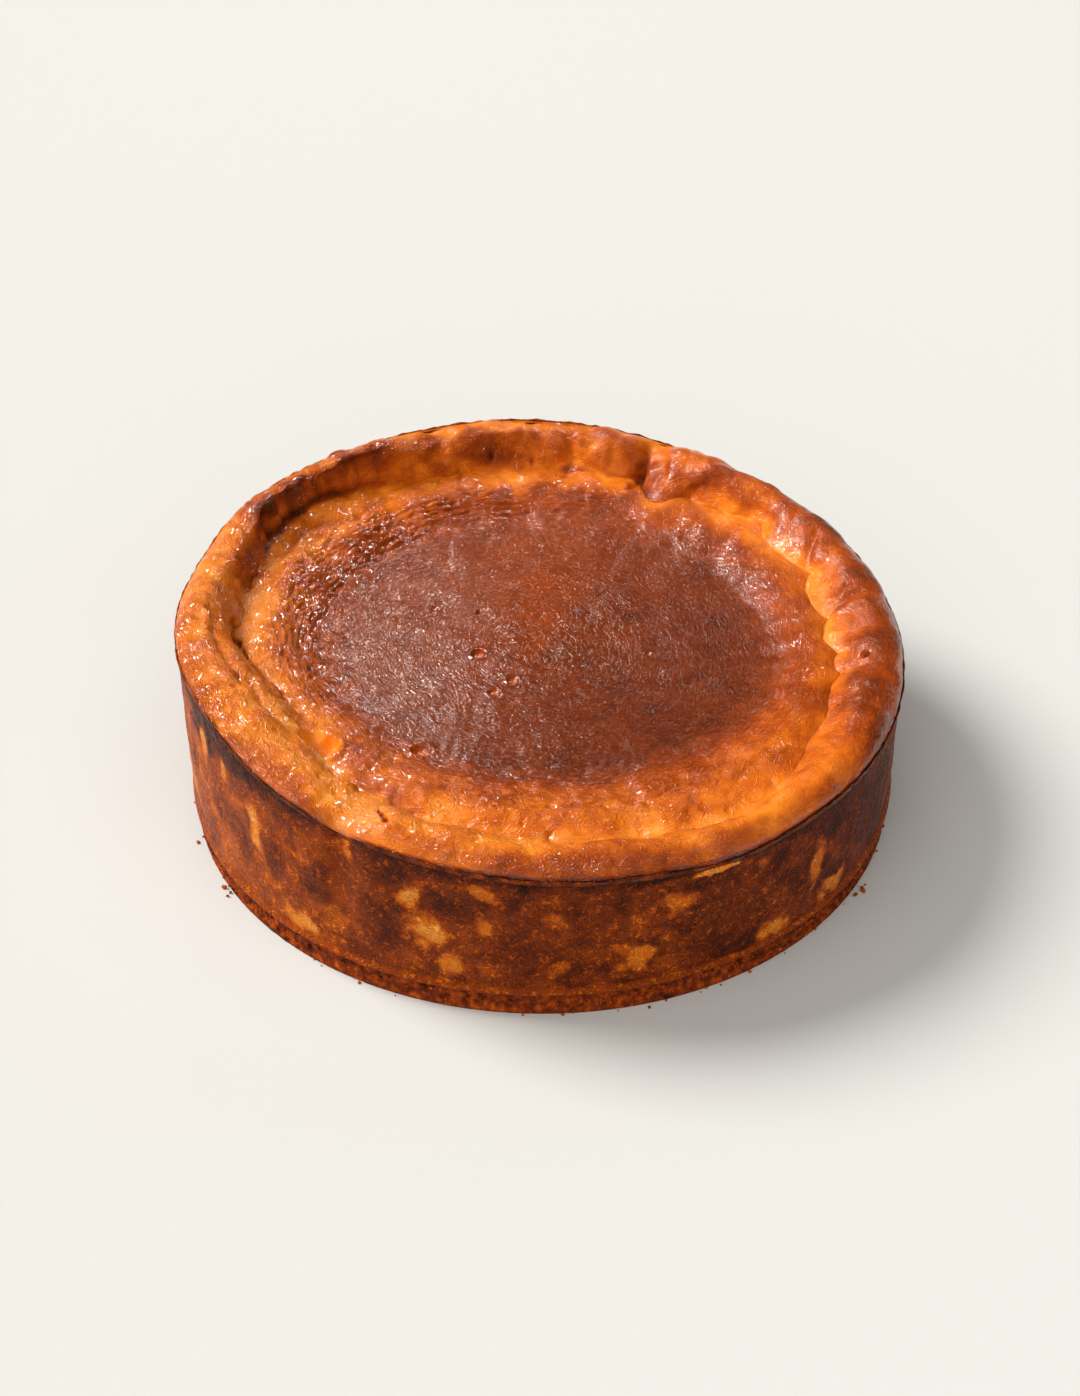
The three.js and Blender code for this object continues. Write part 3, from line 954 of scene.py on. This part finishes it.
def paintBake(tree, shader, browning):
    colour = addNode(tree, "ShaderNodeGroup", node_tree=bakeColour)
    feed(tree, colour.inputs["Browning"], browning)
    feed(tree, shader.inputs["Base Color"], colour.outputs["Color"])


topFinish = {
    "stretch": 1.5,  # how much longer the wrinkles run round the cake than across
    "coarse": (2.5, 0.6, 0.07),  # wrinkles: size in mm, curl, and how wide their threads are
    "fine": (1.5, 0.7, 0.07),
    "coarseDepth": (0.24, 0.050),  # mm, on the roll and on the disc
    "fineDepth": (0.11, 0.042),
    "ripples": (2.8, 0.5, 0.10),  # fine wrinkles that ring the disc
    "rippleStretch": 4.0,
    "rippleDepth": 0.055,
    "dots": (3.4, 0.16, 0.20),  # spacing, share of the spacing, height
    "pores": (0.9, 0.5),  # size, detail
    "poreDepth": 0.03,
    # paler wrinkle ridges on the top: a painted highlight
    "threadTintAndHighlight": 0.05,
    "speckle": (0.09, 0.06),
    "roughness": (0.05, 0.11),
    "tautRoughness": 0.18,  # added where the skin is taut
    "gloss": 1.55,
}


def addFlow(tree, place, across, stretch):
    # places stretched out round the cake
    split = addNode(tree, "ShaderNodeSeparateXYZ")
    feed(tree, split.inputs[0], place)
    flow = addNode(tree, "ShaderNodeCombineXYZ")
    feed(tree, flow.inputs["X"], mathNode(tree, "DIVIDE", split.outputs["X"], stretch ** 0.5))
    feed(tree, flow.inputs["Y"], mathNode(tree, "DIVIDE", split.outputs["Y"], stretch ** 0.5))
    feed(tree, flow.inputs["Z"], mathNode(tree, "MULTIPLY", across, stretch ** 0.5))
    return flow.outputs[0]


def makeTopMaterial():
    material, tree, shader, place, (browning, across, crinkle, onDisc) = startMaterial(
        "bakedTop", ("browning", "across", "crinkle", "onDisc"))
    flow = addFlow(tree, place, across, topFinish["stretch"])
    coarse = addWrinkles(tree, flow, *topFinish["coarse"])
    fine = addWrinkles(tree, flow, *topFinish["fine"])
    ringed = addFlow(tree, place, across, topFinish["rippleStretch"])
    ripples = addWrinkles(tree, ringed, *topFinish["ripples"])
    coarseDepth = mixNumbers(tree, onDisc, *topFinish["coarseDepth"])
    fineDepth = mixNumbers(tree, onDisc, *topFinish["fineDepth"])
    rippleDepth = mathNode(tree, "MULTIPLY", onDisc, topFinish["rippleDepth"])
    wrinkled = addTogether(tree, (coarse, coarseDepth), (fine, fineDepth), (ripples, rippleDepth))
    dots = addDots(tree, place, *topFinish["dots"])
    pores = addNoise(tree, place, *topFinish["pores"])
    height = addTogether(tree, (wrinkled, crinkle), (dots, 1.0), (pores, topFinish["poreDepth"]))
    addBump(tree, shader, height, 1.0)
    speckle = mathNode(tree, "SUBTRACT", addNoise(tree, place, 3.0, 4.0), 0.5)
    speckled = mixNumbers(tree, onDisc, *topFinish["speckle"])
    # the coarse wrinkle ridges are painted paler as a highlight
    tone = addTogether(tree, (browning, 1.0), (speckle, speckled), (coarse, -topFinish["threadTintAndHighlight"]))
    paintBake(tree, shader, tone)
    roughness = mixNumbers(tree, addNoise(tree, place, 6.0, 2.0), *topFinish["roughness"])
    taut = mathNode(tree, "MAXIMUM", mathNode(tree, "SUBTRACT", 1.0, crinkle), 0.0)
    roughness = addTogether(tree, (roughness, 1.0), (taut, topFinish["tautRoughness"]))
    feed(tree, shader.inputs["Roughness"], roughness)
    shader.inputs["IOR"].default_value = topFinish["gloss"]
    return material


def closeTop(bm):
    closeWithin(bm, openRim(bm), *topShape["cap"])


def makeTop():
    bm = makeDrum(topShape["rings"], len(lipShape["rows"]) - 1)
    refineBubbles(bm)
    drum = readDrum(bm)
    top = newObject("cake_top", bm)
    shapeTop(top.data, drum)
    editMesh(top, closeTop)
    finishPiece(top, makeTopMaterial(), "cake")


makeTop()

# the cake's wall, which baked against the tin
sideShape = {
    "segments": 1080,
    "rows": 78,
    "lumps": ((30.0, 0.5), (9.0, 0.22), (4.0, 0.12)),  # size, depth
    "threads": (2.3, 0.20),
    "skinStand": (0.0, 0.0, 0, (swell(36, 22, 1.0), swell(358, 26, 0.9))),  # mm that it stands past the roll
    "footFlare": 0.8,
    "cap": (0.96, 42.0),  # the upper rim is closed inside the cake: how much smaller, and at what height
    "bake": (0.67, 0.04, 330, (swell(298, 36, 0.05), swell(212, 22, -0.06))),
    "rimShade": (0.12, 0.0, 0, (swell(295, 14, -0.072),)),
    "footBake": 0.58,
    "baredBake": 0.2,
}
# pale, orange and dark patches: angle, height, half width, half height, lean in degrees, browning
sidePatches = (
    (222.0, 62.5, 34.0, 6.5, 0, 0.90), (207.0, 62.0, 12.0, 9.0, 0, 0.92), (256.0, 55.5, 26.0, 3.4, 0, 0.86),
    (248.0, 50.0, 4.5, 8.0, -45, 0.86), (256.5, 41.0, 7.5, 6.5, -20, 0.82), (286.5, 50.0, 8.5, 2.4, 4, 0.95),
    (320.0, 42.0, 9.5, 7.0, 10, 0.88), (308.0, 49.5, 10.0, 1.6, 0, 0.88), (226.0, 33.0, 4.0, 8.0, 0, 0.76),
    (234.0, 31.0, 6.0, 4.0, 20, 0.78), (266.0, 27.0, 8.0, 6.0, 0, 0.76), (300.0, 30.0, 9.0, 12.0, 0, 0.73),
    (243.0, 12.0, 6.0, 3.0, 0, 0.72), (336.0, 32.0, 9.0, 16.0, 10, 0.84),
    (238.0, 20.0, 5.0, 5.0, 0, 0.46), (232.0, 44.0, 5.5, 5.5, 0, 0.53), (212.0, 20.0, 9.0, 7.0, 20, 0.48),
    (289.5, 38.5, 5.0, 4.2, 0, 0.40), (284.0, 22.0, 7.5, 6.5, 10, 0.38), (272.5, 19.0, 3.0, 3.4, 0, 0.50),
    (206.5, 55.0, 2.6, 9.5, -8, 0.20), (213.5, 52.0, 1.6, 5.5, 0, 0.24), (221.5, 40.5, 2.9, 9.0, 6, 0.18),
    (230.5, 15.0, 7.5, 5.2, 4, 0.16), (249.8, 41.5, 3.4, 5.0, -30, 0.20), (252.4, 29.5, 6.2, 5.6, -35, 0.17),
    (257.0, 17.5, 4.2, 3.6, -30, 0.33), (261.5, 48.0, 4.2, 2.6, -20, 0.42), (261.8, 34.0, 2.8, 4.0, 0, 0.38),
    (307.5, 13.5, 6.5, 3.6, 0, 0.28), (316.0, 30.0, 3.2, 9.0, -12, 0.34), (321.5, 15.5, 6.5, 4.6, 8, 0.26),
    (240.0, 56.0, 2.2, 6.0, 8, 0.30), (238.8, 60.0, 3.6, 2.6, 0, 0.06), (203.0, 36.0, 3.0, 3.0, 30, 0.44),
    (208.0, 30.0, 4.0, 3.0, 30, 0.45), (272.0, 39.0, 3.0, 3.0, 0, 0.50), (304.5, 43.0, 2.6, 2.2, 0, 0.50),
    (197.0, 24.0, 6.0, 6.0, 20, 0.44),
)
# places where the skin has torn: angle, height, half width, half height, lean, depth, browning
sideTears = (
    (296.5, 48.4, 8.5, 1.8, 3, 0.70, 0.22), (238.8, 60.5, 4.2, 2.8, 0, 0.9, 0.03),
    (206.3, 57.0, 1.0, 2.6, 0, 0.3, 0.10),
)


def backPatches():
    # the same kinds of patch round the back, scattered by a seeded draw
    draw = random.Random(12)
    made = []
    for angle in range(0, 200, 24):
        high = 50.0 + 12.0 * math.sin(math.radians(angle * 0.8))
        made.append((
            angle + draw.uniform(-8, 8), high, draw.uniform(10, 20), draw.uniform(3, 7), 0,
            draw.uniform(0.8, 0.9)))
    for angle in range(-16, 196, 9):
        level = draw.uniform(0.12, 0.45) if draw.random() < 0.55 else draw.uniform(0.74, 0.86)
        made.append((
            angle + draw.uniform(-4, 4), draw.uniform(12, 50), draw.uniform(2.5, 7.0), draw.uniform(3, 8),
            draw.uniform(-30, 30), level))
    return tuple(made)


def patchGap(place, angle, at, high, halfWidth, halfHeight, lean):
    # distance from a leaning patch's middle, 1 at its edge
    along = apart(angle, at) * math.pi / 180.0 * cakeRadius / mm
    above = place[:, 2] / mm - high
    slant = math.radians(lean)
    wide = (along * math.cos(slant) + above * math.sin(slant)) / halfWidth
    tall = (above * math.cos(slant) - along * math.sin(slant)) / halfHeight
    return np.hypot(wide, tall)


def addPatches(browning, place, angle, patches, ragged):
    for *form, level in patches:
        gap = patchGap(place, angle, *form) + 0.6 * ragged
        browning = mix(browning, level, 1.0 - easeIn(0.3, 1.4, gap))
    return browning


def placeOnSide(angle, down):
    stand = around(angle, sideShape["skinStand"])
    reach, height = topProfile(np.ones(len(angle)), angle)
    atRim = (0.75 * stand - 0.5) * (1 - easeIn(0.0, 0.05, down))
    belowRim = 0.25 * (1 - easeIn(0.1, 0.5, down))
    atFoot = sideShape["footFlare"] * easeIn(0.962, 0.985, down)
    reach = mix(reach + (atRim - belowRim) * mm, cakeRadius, down) + atFoot * mm
    height = mix(height + (1.1 * stand - 0.25) * mm, cakeFoot, down)
    return roundPlaces(angle, reach, height)


def tearSide(place, angle):
    # how far in the torn places are cut, where they are, and how brown
    cut, torn = np.zeros((2, len(place)))
    bared = np.full(len(place), sideShape["baredBake"])
    ragged = 0.3 * cloud(place, 2.6, 2, 9.0)
    for *form, depth, tone in sideTears:
        inside = 1 - easeIn(0.8, 1.05, patchGap(place, angle, *form) + ragged)
        cut = cut + depth * inside
        torn = np.maximum(torn, inside)
        bared = mix(bared, tone, inside)
    return cut, torn, bared


def shapeSide(mesh, drum):
    angle, down = drumParts(drum)[1:]
    place = placeOnSide(angle, down)
    setPlaces(mesh, place)
    lumps = 0.0
    for index, (size, depth) in enumerate(sideShape["lumps"]):
        lumps = lumps + depth * cloud(place, size, 2, 7.0 * index + 2.0)
    size, depth = sideShape["threads"]
    threads = bell(cloud(place, size, 2, 3.0) / 0.16)
    cut, torn, bared = tearSide(place, angle)
    move = lumps + depth * (threads - 0.3) - cut
    steady = easeIn(0.0, 0.02, down) * (1 - easeIn(0.93, 0.99, down))
    place = pushOut(mesh, place, move * steady)
    soft, ragged = cloud(place, 13.0, 3, 4.0), cloud(place, 5.5, 3, 8.0)
    browning = around(angle, sideShape["bake"]) + 0.13 * soft + 0.08 * ragged
    browning = browning + around(angle, sideShape["rimShade"]) * (1 - easeIn(0.02, 0.14, down))
    browning = addPatches(browning, place, angle, sidePatches + backPatches(), ragged)
    browning = mix(browning, sideShape["footBake"], easeIn(0.93, 0.965, down) * 0.8)
    browning = mix(browning, bared, torn)
    setMark(mesh, "browning", browning)
    setMark(mesh, "threads", threads)


sideFinish = {
    "coarse": (2.6, 0.9, 0.065),  # wrinkles: size in mm, curl, and how wide their threads are
    "fine": (1.5, 0.9, 0.06),
    "depths": (0.50, 0.24),
    "threadTintAndHighlight": 0.19,
    "speckle": 0.20,
    "roughness": 0.34,
    "shine": 0.07,
}


def makeSideMaterial():
    material, tree, shader, place, (browning, threads) = startMaterial("bakedSide", ("browning", "threads"))
    coarse = addWrinkles(tree, place, *sideFinish["coarse"])
    fine = addWrinkles(tree, place, *sideFinish["fine"])
    coarseDepth, fineDepth = sideFinish["depths"]
    addBump(tree, shader, addTogether(tree, (coarse, coarseDepth), (fine, fineDepth)), 1.0)
    speckle = mathNode(tree, "SUBTRACT", addNoise(tree, place, 4.5, 3.0), 0.5)
    tint = sideFinish["threadTintAndHighlight"]
    tone = addTogether(
        tree, (browning, 1.0), (speckle, sideFinish["speckle"]), (coarse, -tint), (fine, -0.5 * tint),
        (threads, -0.3 * tint))
    paintBake(tree, shader, mathNode(tree, "ADD", tone, 0.35 * tint))
    shader.inputs["Roughness"].default_value = sideFinish["roughness"]
    shader.inputs["Specular IOR Level"].default_value = sideFinish["shine"]
    return material


def closeSide(bm):
    rim = openRim(bm)
    upper = [edge for edge in rim if edge.verts[0].co.z > 30 * mm]
    lower = [edge for edge in rim if edge.verts[0].co.z < 30 * mm]
    closeWithin(bm, upper, *sideShape["cap"])
    bmesh.ops.contextual_create(bm, geom=lower)


def makeSide():
    rows = sideShape["rows"]
    bm = makeTube(sideShape["segments"], rows, 1.0 / rows)[0]
    drum = readDrum(bm)
    side = newObject("cake_side", bm)
    shapeSide(side.data, drum)
    editMesh(side, closeSide)
    finishPiece(side, makeSideMaterial(), "cake")


makeSide()

# the dried edge of the skin, which stands off the rim in a thin ragged line
edgeShape = {
    "segments": 1500,
    "thick": 0.32,
    "root": 1.5,  # how far it is rooted below the rim, mm
    "stand": (0.25, 0.0, 0, (
        swell(36, 24, 0.9), swell(2, 20, 0.7), swell(318, 20, 0.75), swell(285, 8, 0.65), swell(262, 10, 0.2),
        swell(239, 4, -1.8), swell(296, 4, -0.5), swell(90, 24, 0.3))),
    "lean": (0.30, 0.0, 0, (swell(318, 20, 0.35), swell(285, 8, 0.3), swell(239, 4, -0.6))),
    "ragged": (0.5, 3.2),  # height, size
    "bake": (0.66, 0.06, 330, (swell(150, 40, -0.10), swell(222, 18, 0.14))),
    # rows up the outer face, over the free edge and down the inner face:
    # share of the lean, share of the stand (or below 0 of the root), share of the thickness
    "rows": (
        (0.0, -1.0, 0.15),
        (0.05, -0.3, 0.25),
        (1.0, 0.92, 0.2),
        (0.75, 1.0, -0.1),
        (0.0, 0.0, -0.2),
        (0.0, -1.0, -0.5),
    ),
}


def shapeEdge(mesh, drum):
    angle, row = drumParts(drum)[1:]
    reach, height = topProfile(np.ones(len(drum)), angle)
    depth, size = edgeShape["ragged"]
    stand = around(angle, edgeShape["stand"]) + depth * wobble(angle, size, 21.0)
    lean = around(angle, edgeShape["lean"]) + 0.25 * wobble(angle, size * 1.7, 23.0)
    across, above, thick = np.array(edgeShape["rows"])[np.rint(row).astype(int)].T
    rise = above * np.where(above > 0, stand, edgeShape["root"])
    shift = across * lean + thick * edgeShape["thick"]
    setPlaces(mesh, roundPlaces(angle, reach + shift * mm, height + rise * mm))
    setMark(mesh, "browning", around(angle, edgeShape["bake"]) + 0.26 * wobble(angle, 6.0, 25.0))
    setMark(mesh, "threads", np.zeros(len(drum)))


def makeSkinEdge():
    bm, upper, lower = makeTube(edgeShape["segments"], len(edgeShape["rows"]) - 1, 1.0)
    bmesh.ops.bridge_loops(bm, edges=upper + lower)
    drum = readDrum(bm)
    strip = newObject("skin_edge", bm)
    shapeEdge(strip.data, drum)
    finishPiece(strip, bpy.data.materials["bakedSide"], "cake")


makeSkinEdge()

# the crumb base and the crumbs along its foot
crumbShape = {
    "segments": 760,
    "rows": 14,
    "inset": 0.9,
    "gap": 0.2,  # how far it stays below the base's top, mm
    "grains": ((2.4, 0.42), (1.2, 0.34)),  # size, depth
    "stuck": 1100,
    "stuckSize": (0.35, 0.85),
    "stuckHeight": (0.3, 7.4),
    "fallen": 50,
    "fallenSize": (0.25, 0.6),
    # angle, reach and size of loose crumbs
    "strays": (
        (210.0, 1.012, 0.9), (212.0, 1.02, 0.6), (328.0, 1.015, 0.9), (329.5, 1.025, 1.1), (331.0, 1.02, 0.6),
        (286.0, 1.015, 0.5), (198.0, 1.02, 0.7), (55.0, 1.02, 0.8), (120.0, 1.025, 0.7)),
    "roughness": 0.75,
    "shine": 0.12,
}


def shapeCrumbs(mesh, drum):
    angle, down = drumParts(drum)[1:]
    reach = cakeRadius - mm * crumbShape["inset"] * (1 - 0.7 * easeIn(0.6, 1.0, down))
    place = roundPlaces(angle, reach, mix(crumbTop - crumbShape["gap"] * mm, 0.0, down))
    setPlaces(mesh, place)
    move = 0.0
    for index, (size, depth) in enumerate(crumbShape["grains"]):
        move = move + depth * cloud(place, size, 2, 3.0 * index)
    pushOut(mesh, place, move * easeIn(0.0, 0.06, down) * (1 - easeIn(0.96, 1.0, down)))
    setMark(mesh, "relief", move)


def makeCrumbMaterial():
    material, tree, shader, place, (relief,) = startMaterial("crumb", ("relief",))
    tone = mathNode(tree, "ADD", addNoise(tree, place, 2.2, 5.0), mathNode(tree, "MULTIPLY", relief, 0.10))
    tone = mathNode(tree, "MULTIPLY", mathNode(tree, "SUBTRACT", 0.5, tone), 0.9)
    paintBake(tree, shader, mathNode(tree, "ADD", tone, 0.69))
    addBump(tree, shader, addNoise(tree, place, 0.8, 3.0), 0.35)
    shader.inputs["Roughness"].default_value = crumbShape["roughness"]
    shader.inputs["Specular IOR Level"].default_value = crumbShape["shine"]
    return material


def dropGrain(bm, draw, angle, reach, height, size):
    turn = math.radians(angle)
    place = Matrix.Translation((reach * math.cos(turn), reach * math.sin(turn), height))
    spin = Matrix.Rotation(draw.uniform(0, 6.3), 4, Vector((draw.uniform(-1, 1), draw.uniform(-1, 1), 0.6)))
    squash = Matrix.Diagonal((draw.uniform(0.7, 1.3), draw.uniform(0.7, 1.3), draw.uniform(0.6, 1.0), 1.0))
    made = bmesh.ops.create_icosphere(bm, subdivisions=1, radius=size * mm, matrix=place @ spin @ squash)
    for vert in made["verts"]:
        jolt = Vector([draw.uniform(-1, 1) for axis in range(3)])
        vert.co += jolt * size * 0.22 * mm
        vert.co.z = max(vert.co.z, 0.0)
    return len(made["verts"])


def makeGrains(material):
    draw = random.Random(5)
    bm = bmesh.new()
    shades = []
    for index in range(crumbShape["stuck"]):
        angle, height = draw.uniform(0, 360), draw.uniform(*crumbShape["stuckHeight"]) * mm
        size = draw.uniform(*crumbShape["stuckSize"])
        reach = cakeRadius - mm * draw.uniform(0.55, 0.95)
        shade = draw.uniform(-0.5, 0.9)
        shades += [shade] * dropGrain(bm, draw, angle, reach, height, size)
    for index in range(crumbShape["fallen"]):
        size = draw.uniform(*crumbShape["fallenSize"])
        angle, reach = draw.uniform(0, 360), cakeRadius + mm * draw.uniform(0.0, 1.0)
        shade = draw.uniform(0.8, 2.6)
        shades += [shade] * dropGrain(bm, draw, angle, reach, size * 0.6 * mm, size)
    for angle, reach, size in crumbShape["strays"]:
        shade = draw.uniform(0.8, 2.2)
        shades += [shade] * dropGrain(bm, draw, angle, reach * cakeRadius, size * 0.6 * mm, size)
    grains = newObject("crumb_grains", bm)
    setMark(grains.data, "relief", np.array(shades))
    finishPiece(grains, material, "crumb_base")


def fillCrumbs(bm):
    bmesh.ops.holes_fill(bm, edges=openRim(bm), sides=0)


def makeCrumbBase():
    rows = crumbShape["rows"]
    bm = makeTube(crumbShape["segments"], rows, 1.0 / rows)[0]
    drum = readDrum(bm)
    base = newObject("crumb_wall", bm)
    shapeCrumbs(base.data, drum)
    editMesh(base, fillCrumbs)
    material = makeCrumbMaterial()
    finishPiece(base, material, "crumb_base")
    makeGrains(material)


makeCrumbBase()
